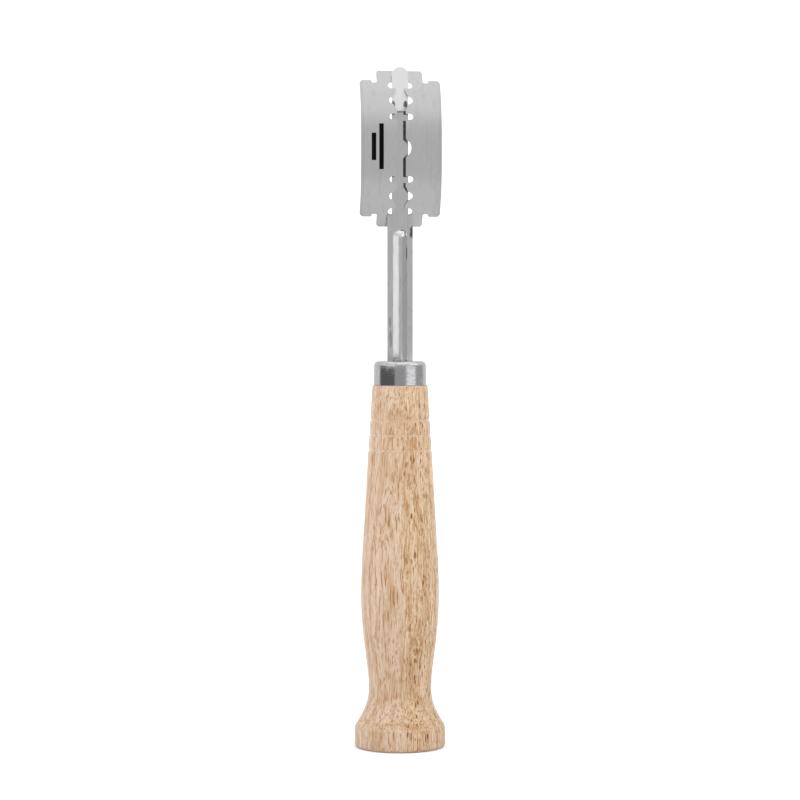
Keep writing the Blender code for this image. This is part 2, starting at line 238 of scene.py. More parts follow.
class Nodes:
    """A node tree, with short calls for its nodes."""

    def __init__(self, tree):
        self.tree = tree

    def node(self, kind, inputs=None, **properties):
        """A node of this kind. Each input is given a value, or a socket to read."""
        made = self.tree.nodes.new(kind)
        for name, value in properties.items():
            setattr(made, name, value)
        for name, value in (inputs or {}).items():
            self.feed(made.inputs[name], value)
        return made

    def feed(self, socket, value):
        if isinstance(value, bpy.types.NodeSocket):
            self.tree.links.new(value, socket)
        else:
            socket.default_value = value

    def math(self, operation, first, second=0.0):
        inputs = {0: first, 1: second}
        return self.node("ShaderNodeMath", inputs, operation=operation).outputs[0]

    def times(self, first, second):
        return self.math("MULTIPLY", first, second)

    def largest(self, values):
        found = values[0]
        for value in values[1:]:
            found = self.math("MAXIMUM", found, value)
        return found

    def vector_math(self, operation, first, second):
        return self.node("ShaderNodeVectorMath", {0: first, 1: second}, operation=operation).outputs[0]

    def stretched(self, place, scale):
        return self.vector_math("MULTIPLY", place, scale)

    def noise(self, place, scale, detail, roughness=0.5, output="Fac"):
        inputs = {"Vector": self.stretched(place, scale), "Scale": 1.0}
        inputs |= {"Detail": detail, "Roughness": roughness}
        return self.node("ShaderNodeTexNoise", inputs).outputs[output]

    def ramp(self, value, low, high, to_low=0.0, to_high=1.0):
        """value from low..high, smoothly and clamped, to to_low..to_high."""
        inputs = {"Value": value, "From Min": low, "From Max": high}
        inputs |= {"To Min": to_low, "To Max": to_high}
        return self.node(
            "ShaderNodeMapRange", inputs, interpolation_type="SMOOTHSTEP"
        ).outputs[0]

    def window(self, value, low, high, soft):
        """1 where the value is between low and high, fading over soft on both sides."""
        rising = self.ramp(value, low - soft, low + soft)
        return self.times(rising, self.ramp(value, high + soft, high - soft))

    def split(self, vector):
        return self.node("ShaderNodeSeparateXYZ", {0: vector}).outputs

    def mix(self, share, first, second, blend="MIX"):
        """The first colour where share is 0, and the second where it is 1."""
        made = self.node("ShaderNodeMix", data_type="RGBA", blend_type=blend)
        self.feed(made.inputs[0], share)
        self.feed(made.inputs[6], first)
        self.feed(made.inputs[7], second)
        return made.outputs[2]

    def bump(self, height, distance, strength, under=None):
        """A normal for this relief, on top of another bump's where one is given."""
        inputs = {"Height": height, "Distance": distance, "Strength": strength}
        if under is not None:
            inputs["Normal"] = under
        return self.node("ShaderNodeBump", inputs).outputs[0]


class Shader(Nodes):
    """A material on the Principled shader."""

    def __init__(self, name):
        self.material = bpy.data.materials.new(name)
        self.material.use_nodes = True
        super().__init__(self.material.node_tree)
        self.surface = self.tree.nodes["Principled BSDF"]

    def millimetres(self):
        """The place on the object, in millimetres."""
        place = self.node("ShaderNodeTexCoord").outputs["Object"]
        scale = self.node("ShaderNodeVectorMath", {0: place, "Scale": 1000.0}, operation="SCALE")
        return scale.outputs[0]

    def finish(self, **inputs):
        """The material, with these inputs of its shader fed."""
        for name, value in inputs.items():
            self.feed(self.surface.inputs[name.replace("_", " ")], value)
        return self.material


def rgb(red, green, blue):
    return (red, green, blue, 1.0)


# Wood colours: its ground on the left and right of the handle, and what lies on it.
WOOD_LEFT = rgb(0.66, 0.5, 0.375)
WOOD_RIGHT = rgb(0.665, 0.495, 0.335)
WOOD_STREAK = rgb(0.51, 0.33, 0.19)
WOOD_EARLY = rgb(0.5, 0.305, 0.155)
WOOD_PALE_FIBRE = rgb(0.74, 0.61, 0.465)
WOOD_DARK_FIBRE = rgb(0.37, 0.175, 0.06)
WOOD_FLECK = rgb(0.49, 0.225, 0.075)
WOOD_LINE = rgb(0.24, 0.09, 0.02)
WOOD_PORE = rgb(0.23, 0.075, 0.01)
# Painted shade, multiplied in more and more towards the butt, as under light from above:
WOOD_PAINTED_SHADE = rgb(0.91, 0.91, 0.91)
WOOD_PALE_GROOVE = rgb(0.8, 0.66, 0.5)

# Middle of the growth rings, their width, and how much of a pore's cell it fills.
PITH = (9.0, 46.0, 0.0)
RING_WIDTH = 2.7
PORE_RADIUS = 0.4


def wood_grain(s, place):
    """The place shifted a little from side to side, so that the grain wanders along the handle."""
    drift = s.noise(place, (0.09, 0.09, 0.03), 2.0, output="Color")
    drift = s.vector_math("SUBTRACT", drift, (0.5, 0.5, 0.5))
    return s.vector_math("ADD", place, s.stretched(drift, (6.0, 6.0, 0.0)))


def early_wood(s, grain):
    """The open-pored part of each growth ring, round a pith far behind the tool."""
    from_pith = s.stretched(s.vector_math("SUBTRACT", grain, PITH), (1.0, 1.0, 0.0))
    distance = s.node("ShaderNodeVectorMath", {0: from_pith}, operation="LENGTH").outputs["Value"]
    ring = s.math("FRACT", s.math("DIVIDE", distance, RING_WIDTH))
    return s.times(s.ramp(ring, 0.0, 0.12), s.ramp(ring, 0.55, 0.25))


def pores(s, grain, early, scale, shares):
    """Short open vessels along the grain, and the share of them in late and in early wood."""
    inputs = {"Vector": s.stretched(grain, scale), "Scale": 1.0}
    cells = s.node("ShaderNodeTexVoronoi", inputs)
    inside = s.ramp(cells.outputs["Distance"], PORE_RADIUS, PORE_RADIUS * 0.45)
    chance = s.node("ShaderNodeSeparateColor", {"Color": cells.outputs["Color"]}).outputs
    wanted = s.math("SUBTRACT", 1.0, s.ramp(early, 0.0, 1.0, *shares))
    chosen = s.math("GREATER_THAN", chance[0], wanted)
    depth = s.ramp(chance[1], 0.0, 1.0, 0.35, 1.0)
    return s.times(s.times(inside, chosen), depth)


def wood_material():
    """Pale ring-porous hardwood: growth rings, fibre streaks and open pores that run along the handle."""
    s = Shader("turned_hardwood")
    place = s.millimetres()
    grain = wood_grain(s, place)
    early = early_wood(s, grain)
    fibre = s.noise(grain, (3.1, 3.1, 0.16), 3.0, 0.62)
    streak = s.noise(grain, (1.0, 1.0, 0.06), 3.0, 0.6)
    zone = s.noise(grain, (0.22, 0.22, 0.03), 2.0, 0.5)
    fleck = s.noise(grain, (2.3, 2.3, 0.7), 2.0, 0.6)

    axes = s.split(place)
    height = axes[2]
    across = s.math("ADD", axes[0], s.times(s.math("SUBTRACT", zone, 0.5), 9.0))
    tangential = s.ramp(across, -4.0, 0.5)

    color = s.mix(tangential, WOOD_LEFT, WOOD_RIGHT)
    color = s.mix(s.ramp(streak, 0.46, 0.66, 0.0, 0.75), color, WOOD_STREAK)
    color = s.mix(s.times(early, 0.5), color, WOOD_EARLY)
    color = s.mix(s.ramp(fibre, 0.46, 0.3, 0.0, 0.8), color, WOOD_PALE_FIBRE)
    color = s.mix(s.ramp(fibre, 0.54, 0.64, 0.0, 0.9), color, WOOD_DARK_FIBRE)
    reddish = s.times(s.ramp(fleck, 0.53, 0.65), s.ramp(tangential, 0.0, 1.0, 0.25, 0.7))
    color = s.mix(reddish, color, WOOD_FLECK)
    lines = s.noise(grain, (4.6, 4.6, 0.09), 2.0, 0.5)
    low_down = s.ramp(height, 14.0, 4.0, 0.5, 1.0)
    cut_deeper = s.times(low_down, s.ramp(tangential, 0.0, 1.0, 0.5, 1.0))
    lines = s.times(s.ramp(lines, 0.59, 0.64), cut_deeper)
    color = s.mix(lines, color, WOOD_LINE)

    large = pores(s, grain, early, (1.15, 1.15, 0.36), (0.3, 0.8))
    small = pores(s, grain, early, (2.1, 2.1, 0.55), (0.35, 0.75))
    depth = s.math("MAXIMUM", large, s.times(small, 0.75))
    depth = s.times(depth, s.ramp(tangential, 0.0, 1.0, 0.3, 1.0))
    color = s.mix(depth, color, WOOD_PORE)

    # Painted shade: the wood is darkened more and more towards the butt, as under light from above.
    painted_shade_below = s.ramp(height, 95.0, 5.0)
    color = s.mix(painted_shade_below, color, WOOD_PAINTED_SHADE, "MULTIPLY")

    # Paler bands along the grooves.
    bands = [s.window(height, groove - 0.22, groove + 0.22, 0.18) for groove in GROOVE_HEIGHTS]
    color = s.mix(s.times(s.largest(bands), 0.4), color, WOOD_PALE_GROOVE)

    relief = s.math("SUBTRACT", s.times(fibre, 0.25), depth)
    normal = s.bump(relief, 0.00008, 0.6)
    roughness = s.ramp(fibre, 0.3, 0.7, 0.55, 0.7)
    s.finish(Base_Color=color, Roughness=roughness, Normal=normal)
    return s.finish(Specular_IOR_Level=0.2, Sheen_Weight=0.25)


def steel_base(s, place, brush_scale, color, spread):
    """Brushing, cloudy handling marks and base colour of a steel surface."""
    brush = s.noise(place, brush_scale, 4.0, 0.65)
    cloud = s.noise(place, (0.35, 0.35, 0.2), 3.0, 0.55)
    dark = tuple(c * (1 - 2.2 * spread) for c in color)
    light = tuple(min(1.0, c * (1 + spread)) for c in color)
    shade = s.mix(s.ramp(brush, 0.3, 0.7), rgb(*dark), rgb(*light))
    shade = s.mix(s.ramp(cloud, 0.4, 0.7, 0.0, 0.35), shade, rgb(*dark))
    return brush, cloud, shade


def marks(s, place, spots):
    """Soft, uneven oval marks: each a centre, across and up, and two half sizes, in millimetres."""
    axes = s.split(place)
    uneven = s.math("SUBTRACT", s.noise(place, (2.2, 2.2, 1.1), 3.0, 0.6), 0.5)
    uneven = s.times(uneven, 2.6)
    found = []
    for (across, up), half_width, half_height in spots:
        x = s.math("DIVIDE", s.math("SUBTRACT", axes[0], across), half_width)
        z = s.math("DIVIDE", s.math("SUBTRACT", axes[2], up), half_height)
        square = s.math("ADD", s.times(x, x), s.times(z, z))
        found.append(s.ramp(s.math("ADD", square, uneven), 1.35, 0.35))
    return s.largest(found)


def facing_front(s):
    """1 on the faces that look out of the tool's front."""
    normal = s.node("ShaderNodeTexCoord").outputs["Normal"]
    return s.math("LESS_THAN", s.split(normal)[1], -0.2)


def facing_back(s):
    """1 on the faces that look out of the tool's back."""
    normal = s.node("ShaderNodeTexCoord").outputs["Normal"]
    return s.math("GREATER_THAN", s.split(normal)[1], 0.2)


def ferrule_material():
    """Polished steel with fine lines turned round it and a few handling marks."""
    s = Shader("ferrule_polished_steel")
    place = s.millimetres()
    brush, cloud, shade = steel_base(s, place, (0.5, 0.5, 14.0), (0.6, 0.6, 0.615), 0.06)
    smudge = s.noise(place, (1.2, 1.2, 1.6), 5.0, 0.7)
    shade = s.mix(s.ramp(smudge, 0.48, 0.66, 0.0, 0.65), shade, rgb(0.38, 0.38, 0.39))
    polish = s.ramp(cloud, 0.3, 0.7, 0.06, 0.12)
    roughness = s.math("ADD", polish, s.ramp(smudge, 0.46, 0.7, 0.0, 0.24))
    normal = s.bump(brush, 0.00001, 0.4)
    normal = s.bump(smudge, 0.00006, 0.5, normal)
    return s.finish(Base_Color=shade, Metallic=1.0, Roughness=roughness, Normal=normal)


def strip_material():
    """Stamped stainless strip: lengthwise rolling lines, press marks with painted shade and painted
    reflections among them, a painted shadow line, and a coined end painted brighter as a highlight.
    """
    s = Shader("strip_stamped_steel")
    place = s.millimetres()
    brush, cloud, shade = steel_base(s, place, (6.0, 6.0, 0.25), (0.64, 0.64, 0.645), 0.04)
    height = s.split(place)[2]
    shank = s.ramp(height, SHOULDER_Z - 1.0, SHOULDER_Z - 5.0)
    blotch = s.times(s.noise(place, (1.1, 1.1, 0.3), 4.0, 0.65), shank)
    shade = s.mix(s.ramp(blotch, 0.52, 0.74, 0.0, 0.45), shade, rgb(0.42, 0.42, 0.43))
    # Painted highlight: the coined tip's colour is raised, as if it leaned up into the light; it is also
    # made rougher.
    coined_and_painted_bright = s.ramp(height, COINED_ABOVE - 0.08, COINED_ABOVE + 0.08)
    shade = s.mix(coined_and_painted_bright, shade, rgb(0.96, 0.96, 0.96))
    # Painted shadow: a dark band just below the coined end, where the blade's neck shades the tongue.
    painted_shadow_line = s.window(height, COINED_ABOVE - 0.55, COINED_ABOVE - 0.05, 0.12)
    shade = s.mix(s.times(painted_shadow_line, 0.6), shade, rgb(0.13, 0.13, 0.135))
    front = facing_front(s)
    # Dark marks on the front: stains, painted shade round the rib, and painted reflections on the tongue.
    for spots, strength in ((PRESS_MARKS_AND_PAINTED_SHADE, 0.9), (FAINT_MARKS, 0.4)):
        stains_and_painted_shade = s.times(s.times(marks(s, place, spots), front), strength)
        shade = s.mix(stains_and_painted_shade, shade, rgb(0.08, 0.08, 0.085))
    finish = s.math("ADD", s.ramp(cloud, 0.3, 0.7, 0.1, 0.16), s.ramp(blotch, 0.5, 0.75, 0.0, 0.1))
    roughness = s.math("ADD", finish, s.times(coined_and_painted_bright, 0.3))
    normal = s.bump(brush, 0.000006, 0.3)
    return s.finish(Base_Color=shade, Metallic=1.0, Roughness=roughness, Normal=normal)


def printed_bars(s, place):
    """Two plain bars on the front of the blade's left wing, where a maker would print."""
    axes = s.split(place)
    bars = []
    for (across, up), half_width, half_height in PRINTED_BARS:
        wide = s.window(axes[0], across - half_width, across + half_width, 0.05)
        height = BLADE_CENTRE_Z + up
        tall = s.window(axes[2], height - half_height, height + half_height, 0.05)
        bars.append(s.times(wide, tall))
    return s.times(s.largest(bars), facing_front(s))


def painted_dark_back(s, axes, across):
    """Painted shade: 1 on the blade's back beside the slot, darkened so that its reflection in the tongue
    shows as the dark line between tongue and blade.
    """
    slot_end = NOTCH_CENTRE - 1.5
    tall = s.window(axes[2], BLADE_CENTRE_Z - slot_end, BLADE_CENTRE_Z + slot_end, 0.5)
    return s.times(s.times(facing_back(s), s.ramp(across, 2.45, 2.2)), tall)


def blade_material():
    """Satin blade steel with ground edges, painted shade on its back along the slot, and two plain printed
    bars.
    """
    s = Shader("blade_satin_steel")
    place = s.millimetres()
    brush, _, shade = steel_base(s, place, (7.0, 7.0, 0.35), (0.63, 0.63, 0.63), 0.03)
    bands = s.noise(place, (0.9, 0.9, 0.03), 2.0, 0.5)
    shade = s.mix(s.ramp(bands, 0.5, 0.72, 0.0, 0.4), shade, rgb(0.52, 0.52, 0.52))
    grain = s.noise(place, (9.0, 9.0, 9.0), 2.0, 0.6)
    shade = s.mix(s.ramp(grain, 0.55, 0.7, 0.0, 0.12), shade, rgb(0.45, 0.45, 0.45))
    axes = s.split(place)
    across = s.math("ABSOLUTE", axes[0])
    grind_start = BLADE_HALF_WIDTH - BLADE_GRIND_WIDTH
    ground = s.ramp(across, grind_start - 0.05, grind_start + 0.05)
    shade = s.mix(ground, shade, rgb(0.58, 0.58, 0.59))
    # Painted shade: the blade's back beside the slot is darkened.
    shade = s.mix(painted_dark_back(s, axes, across), shade, rgb(0.2, 0.2, 0.2))
    ink = printed_bars(s, place)
    shade = s.mix(ink, shade, rgb(0.008, 0.008, 0.009))
    roughness = s.math("ADD", s.ramp(brush, 0.3, 0.7, 0.17, 0.24), s.times(ink, 0.3))
    normal = s.bump(brush, 0.000006, 0.3)
    return s.finish(Base_Color=shade, Metallic=1.0, Roughness=roughness, Normal=normal)


def brad_material():
    """Filed steel with cloudy, darker handling marks."""
    s = Shader("brad_filed_steel")
    place = s.millimetres()
    _, cloud, shade = steel_base(s, place, (4.0, 4.0, 9.0), (0.55, 0.55, 0.56), 0.1)
    normal = s.bump(cloud, 0.00004, 0.5)
    roughness = s.ramp(cloud, 0.3, 0.7, 0.25, 0.45)
    return s.finish(Base_Color=shade, Metallic=1.0, Roughness=roughness, Normal=normal)


def adhesive_material():
    """Amber set epoxy with small bubbles."""
    s = Shader("adhesive_set_epoxy")
    place = s.millimetres()
    bubbles = s.node("ShaderNodeTexVoronoi", {"Vector": place, "Scale": 1.4}).outputs["Distance"]
    cloud = s.noise(place, (0.6, 0.6, 0.6), 3.0)
    shade = s.mix(cloud, rgb(0.62, 0.42, 0.16), rgb(0.8, 0.66, 0.36))
    roughness = s.ramp(bubbles, 0.1, 0.3, 0.5, 0.25)
    normal = s.bump(bubbles, 0.0001, 0.4)
    return s.finish(Base_Color=shade, Roughness=roughness, Normal=normal)


# ---------------------------------------------------------------- shapes


def added(name, data):
    """A new object of this data, in the scene."""
    made = bpy.data.objects.new(name, data)
    bpy.context.scene.collection.objects.link(made)
    return made


def evaluated_mesh(piece):
    """A new mesh of the piece as its modifiers, or its curve's fill, make it."""
    bpy.context.view_layer.update()
    graph = bpy.context.evaluated_depsgraph_get()
    return bpy.data.meshes.new_from_object(piece.evaluated_get(graph))


def apply_modifiers(piece):
    finished = evaluated_mesh(piece)
    piece.modifiers.clear()
    piece.data = finished


def add_piece(name, mesh, body, node, material):
    """A finished mesh that stands for a CAD node, riding on its body."""
    piece = added(name, mesh)
    mesh.materials.append(material)
    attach(piece, body)
    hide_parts(node)
    return piece


def mesh_of(name, bm, sharp=35.0):
    """The bmesh as a smooth-shaded mesh, with the edges over this many degrees kept sharp."""
    mesh = bpy.data.meshes.new(name)
    bm.to_mesh(mesh)
    bm.free()
    mesh.shade_smooth()
    mesh.set_sharp_from_angle(angle=math.radians(sharp))
    return mesh


def arc(centre, radius, start, end, count):
    """Points on an arc, its angles in degrees."""
    angles = [math.radians(start + (end - start) * i / count) for i in range(count + 1)]
    return [(centre[0] + radius * math.cos(a), centre[1] + radius * math.sin(a)) for a in angles]


def turned(profile, segments):
    """A closed solid of revolution about Z from (radius, height) points, from axis to axis, top first."""
    bm = bmesh.new()
    angles = [2 * math.pi * step / segments for step in range(segments)]
    rings = []
    for radius, height in profile:
        turns = angles if radius > 0.0 else [0.0]
        places = [Vector((radius * math.cos(a), radius * math.sin(a), height)) for a in turns]
        rings.append([bm.verts.new(place * MM) for place in places])
    for above, below in zip(rings, rings[1:]):
        for step in range(segments):
            near, far = step, (step + 1) % segments
            corners = [above[near % len(above)], below[near % len(below)]]
            corners += [below[far % len(below)], above[far % len(above)]]
            bm.faces.new(dict.fromkeys(corners))
    return bm


def hermite(start, end, t):
    """Radius between two outline stations, each a height, a radius and a slope."""
    run = end[0] - start[0]
    square, cube = t * t, t * t * t
    return (
        (2 * cube - 3 * square + 1) * start[1]
        + (cube - 2 * square + t) * start[2] * run
        + (3 * square - 2 * cube) * end[1]
        + (cube - square) * end[2] * run
    )


def outline_radius(height):
    for start, end in zip(HANDLE_OUTLINE, HANDLE_OUTLINE[1:]):
        if height >= end[0]:
            return hermite(start, end, (height - start[0]) / (end[0] - start[0]))
    return HANDLE_OUTLINE[-1][1]


def groove_depth(height):
    """Depth of the turned grooves: a V with a rounded bottom, its lips eased."""
    nearest = min(abs(height - groove) for groove in GROOVE_HEIGHTS)
    share = max(0.0, 1.0 - nearest / GROOVE_HALF_WIDTH)
    return GROOVE_DEPTH * share**1.6


def handle_rows(start, end):
    """Heights of the handle's rows from start down to end, closer together at the grooves."""
    heights = [start]
    while heights[-1] > end + HANDLE_ROW_STEP:
        nearest = min(abs(heights[-1] - groove) for groove in GROOVE_HEIGHTS)
        step = GROOVE_ROW_STEP if nearest < GROOVE_ROWS_REACH else HANDLE_ROW_STEP
        heights.append(heights[-1] - step)
    return heights + [end]


def handle_profile():
    """The handle's section, from the top of its spigot down to its butt face."""
    low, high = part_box("handle")
    top = high.z / MM
    shoulder, shoulder_radius, _ = HANDLE_OUTLINE[0]
    corner = HANDLE_SHOULDER_RADIUS
    edge = BUTT_EDGE_RADIUS
    points = [(0.0, top), (SPIGOT_RADIUS - SPIGOT_CHAMFER, top), (SPIGOT_RADIUS, top - SPIGOT_CHAMFER)]
    points.append((SPIGOT_RADIUS, shoulder))
    points += arc((shoulder_radius - corner, shoulder - corner), corner, 90.0, 10.0, 5)
    heights = handle_rows(shoulder - HANDLE_FIRST_ROW, HANDLE_OUTLINE[-1][0])
    points += [(outline_radius(h) - groove_depth(h), h) for h in heights]
    points += [(BUTT_RADIUS + x, BUTT_SHOULDER_Z + z) for x, z in BUTT_SHOULDER_EASING]
    points += arc((BUTT_RADIUS - edge, edge), edge, 0.0, -90.0, 8)
    points.append((0.0, low.z / MM))
    return points


def make_handle():
    bm = turned(handle_profile(), HANDLE_SEGMENTS)
    mesh = mesh_of("handle_turned", bm, 50.0)
    add_piece("handle_turned", mesh, "holder", "handle", wood_material())


def ferrule_profile():
    """The ferrule's section, from the middle of its top, over its outside, and back inside."""
    bottom, top = HANDLE_OUTLINE[0][0] + FERRULE_GAP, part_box("ferrule")[1].z / MM
    centre = (FERRULE_TOP_RADIUS - FERRULE_EDGE_RADIUS, top - FERRULE_EDGE_RADIUS)
    inner_radius = FERRULE_BOTTOM_RADIUS - FERRULE_WALL
    lip = FERRULE_LIP_RADIUS
    points = [(FERRULE_TOP_RADIUS * share, top - dip) for share, dip in FERRULE_DISH]
    points += arc(centre, FERRULE_EDGE_RADIUS, 90.0, 0.0, 12)
    points += arc((FERRULE_BOTTOM_RADIUS - lip, bottom + lip), lip, 0.0, -90.0, 4)
    points.append((inner_radius, bottom))
    points += arc(centre, FERRULE_EDGE_RADIUS - FERRULE_WALL, 0.0, 90.0, 6)
    points.append((0.0, top - FERRULE_WALL))
    return points


def cutter_box(size, low, high):
    """A box on the tool's axis, its size across and its lower and upper side in millimetres."""
    bm = bmesh.new()
    place = Matrix.Translation((0.0, 0.0, (low + high) / 2 * MM))
    scale = Matrix.Diagonal((size[0] * MM, size[1] * MM, (high - low) * MM, 1.0))
    bmesh.ops.create_cube(bm, size=1.0, matrix=place @ scale)
    return bm


def cut(piece, bm):
    """Cuts the bmesh's shape out of the piece, for good."""
    mesh = bpy.data.meshes.new("cutter")
    bm.to_mesh(mesh)
    bm.free()
    cutter = added("cutter", mesh)
    boolean = piece.modifiers.new("cut", "BOOLEAN")
    boolean.object = cutter
    apply_modifiers(piece)
    bpy.data.objects.remove(cutter, do_unlink=True)


def make_ferrule():
    mesh = mesh_of("ferrule_cup", turned(ferrule_profile(), FERRULE_SEGMENTS))
    piece = add_piece("ferrule_cup", mesh, "holder", "ferrule", ferrule_material())
    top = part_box("ferrule")[1].z / MM
    cut(piece, cutter_box(FERRULE_SLOT, top - FERRULE_SLOT_DEPTH, top + 1.0))


def make_brad():
    """A short pin whose domed head sits flush in the ferrule's side."""
    low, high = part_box("ferrule_brad")
    height = (low.z + high.z) / 2
    outward = Vector((math.sin(BRAD_ANGLE), -math.cos(BRAD_ANGLE), 0.0))
    outer, inner = FERRULE_BOTTOM_RADIUS, FERRULE_BOTTOM_RADIUS - BRAD_LENGTH
    dome = BRAD_DOME_RADIUS
    profile = [(0.0, outer + BRAD_DOME_HEIGHT)]
    profile += arc((BRAD_RADIUS - dome, outer - dome), dome, 80.0, 0.0, 4)
    profile += [(BRAD_RADIUS, inner), (0.0, inner)]
    bm = turned(profile, BRAD_SEGMENTS)
    turn = outward.to_track_quat("Z", "Y").to_matrix().to_4x4()
    bmesh.ops.transform(bm, matrix=Matrix.Translation((0.0, 0.0, height)) @ turn, verts=bm.verts)
    mesh = mesh_of("brad_pin", bm)
    add_piece("brad_pin", mesh, "holder", "ferrule_brad", brad_material())


def strip_heights(low, high):
    """Heights of the strip's rows, closer together at the shoulder, the rib's ends and the tip."""
    fixed = [low, low + TANG_TIP, TANG_TOP, TANG_TOP + TANG_STEP]
    turns = (90, 72, 54, 36, 18, 0)
    fixed += [SHOULDER_Z - SHOULDER_RADIUS * (1 - math.cos(math.radians(a))) for a in turns]
    centre = high - TONGUE_HALF_WIDTH
    fixed += [centre + TONGUE_HALF_WIDTH * math.sin(math.radians(a)) for a in range(0, 88, 6)]
    fixed += [COINED_ABOVE + COINED_GROOVE[0] * step for step in (-1.0, 0.0, 1.0)]
    even = []
    height = TANG_TOP + 1.2
    while height < centre - 0.5:
        nearest = min(abs(height - RIB_BOTTOM - 1.0), abs(height - RIB_TOP + 1.6))
        even.append(height)
        height += RIB_ROW_STEP if nearest < RIB_ROWS_REACH else STRIP_ROW_STEP
    clear = [h for h in even if min(abs(h - f) for f in fixed) > STRIP_ROW_GAP]
    return sorted(fixed + clear)


def strip_half_width(height, low, high):
    """Half the strip's width: narrow tang, shank with rounded shoulders, tongue with a round tip."""
    above = height - (high - TONGUE_HALF_WIDTH)
    if above > 0:
        return math.sqrt(max(0.0, TONGUE_HALF_WIDTH**2 - above**2))
    if height >= SHOULDER_Z - 1e-6:
        return TONGUE_HALF_WIDTH
    if height > SHOULDER_Z - SHOULDER_RADIUS:
        rise = (height - SHOULDER_Z + SHOULDER_RADIUS) / SHOULDER_RADIUS
        return SHANK_HALF_WIDTH - SHOULDER_RADIUS * (1 - math.sqrt(max(0.0, 1 - rise * rise)))
    if height > TANG_TOP:
        return SHANK_HALF_WIDTH
    return TANG_HALF_WIDTH if height > low else TANG_HALF_WIDTH - TANG_TIP


def coined_groove(height):
    """How far the front dips at the line where the coined end begins."""
    width, depth = COINED_GROOVE
    return depth * max(0.0, 1.0 - abs(height - COINED_ABOVE) / width)


def rib_height(across, height):
    """How far the pressed rib stands forward: a rounded ridge, round at its top and short at its foot."""
    beyond = max(0.0, height - RIB_TOP + RIB_TOP_LENGTH)
    reach = math.hypot(across / RIB_HALF_WIDTH, beyond / RIB_TOP_LENGTH)
    run = (height - RIB_BOTTOM) / RIB_END_LENGTH
    if run <= 0 or reach >= 1.0:
        return 0.0
    return RIB_HEIGHT * math.sin(min(run, 1.0) * math.pi / 2) * (1.0 - reach**1.5)


def make_strip():
    """A fine grid over the strip's outline, pushed forward at the rib and given its thickness."""
    low, high = (corner.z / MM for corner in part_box("blade_holder"))
    heights = strip_heights(low, high)
    half = STRIP_HALF_COLUMNS
    shares = [i / half for i in range(-half, half + 1)]
    bm = bmesh.new()
    bmesh.ops.create_grid(bm, x_segments=len(shares) - 1, y_segments=len(heights) - 1, size=1.0)
    for vert in bm.verts:
        share = shares[round((vert.co.x + 1) / 2 * (len(shares) - 1))]
        height = heights[round((vert.co.y + 1) / 2 * (len(heights) - 1))]
        across = share * strip_half_width(height, low, high)
        forward = rib_height(across, height) - coined_groove(height)
        vert.co = Vector((across, -forward, height)) * MM
    bmesh.ops.recalc_face_normals(bm, faces=bm.faces)
    if sum(face.normal.y for face in bm.faces) > 0:
        bmesh.ops.reverse_faces(bm, faces=bm.faces)
    mesh = mesh_of("strip_stamped", bm)
    piece = add_piece("strip_stamped", mesh, "holder", "blade_holder", strip_material())
    solid = piece.modifiers.new("thickness", "SOLIDIFY")
    solid.thickness = STRIP_THICKNESS * MM
    solid.offset = 0.0
    solid.use_even_offset = True
    apply_modifiers(piece)
    piece.data.set_sharp_from_angle(angle=math.radians(40.0))


def mirrored_quadrants(quadrant):
    """A closed outline from the points of its first quadrant, given from the X axis to the Y axis."""
    upper = quadrant + [(-x, y) for x, y in reversed(quadrant) if x > 0]
    lower = [(x, -y) for x, y in reversed(upper) if y > 0]
    return upper + lower


def blade_outline():
    """The blade's edge, from a quarter of it: cutting edge, the wing's round end, the dip and the tab."""
    outer, inner = WING_OUTER_RADIUS, WING_INNER_RADIUS
    wing_dip, tab_dip, tab = DIP_WING_RADIUS, DIP_TAB_RADIUS, TAB_CORNER_RADIUS
    points = [(BLADE_HALF_WIDTH, 0.0)]
    points += arc((BLADE_HALF_WIDTH - outer, BLADE_WING_HALF_LENGTH - outer), outer, 0.0, 90.0, 9)
    points += arc((WING_INNER_X + inner, BLADE_WING_HALF_LENGTH - inner), inner, 90.0, 180.0, 7)
    points += arc((WING_INNER_X - wing_dip, DIP_BOTTOM + wing_dip), wing_dip, 0.0, -90.0, 5)
    points += arc((BLADE_TAB_HALF_WIDTH + tab_dip, DIP_BOTTOM + tab_dip), tab_dip, -90.0, -180.0, 7)
    points += arc((BLADE_TAB_HALF_WIDTH - tab, BLADE_HALF_LENGTH - tab), tab, 0.0, 90.0, 7)
    return mirrored_quadrants(points + [(0.0, BLADE_HALF_LENGTH)])


def blade_slot():
    """The slot's edge, from a quarter of it: centre hole, cross notch, rounded diamond, end notch."""
    side, cross, end = SLOT_HALF_WIDTH, CROSS_NOTCH_RADIUS, NOTCH_HEIGHT / 2
    middle, round_angle = DIAMOND_CENTRE, DIAMOND_ROUND_ANGLE
    flank_x, flank_z = DIAMOND_FLANK
    neck_angle = math.degrees(math.asin(HOLE_NECK / HOLE_RADIUS))
    points = arc((0.0, 0.0), HOLE_RADIUS, 0.0, neck_angle, 10)
    points += [(side, HOLE_END), (side, CROSS_NOTCH_CENTRE - cross)]
    points += arc((CROSS_NOTCH_X, CROSS_NOTCH_CENTRE), cross, -90.0, 90.0, 12)
    points += [(side, CROSS_NOTCH_CENTRE + cross)]
    points += [(side, middle - DIAMOND_HALF_LENGTH), (flank_x, middle - flank_z)]
    points += arc((DIAMOND_ROUND_X, middle), DIAMOND_ROUND_RADIUS, -round_angle, round_angle, 12)
    points += [(flank_x, middle + flank_z), (side, middle + DIAMOND_HALF_LENGTH)]
    points += [(side, NOTCH_CENTRE - end)]
    points += arc((NOTCH_X, NOTCH_CENTRE), end, -90.0, 90.0, 12)
    return mirrored_quadrants(points + [(0.0, NOTCH_CENTRE + end)])


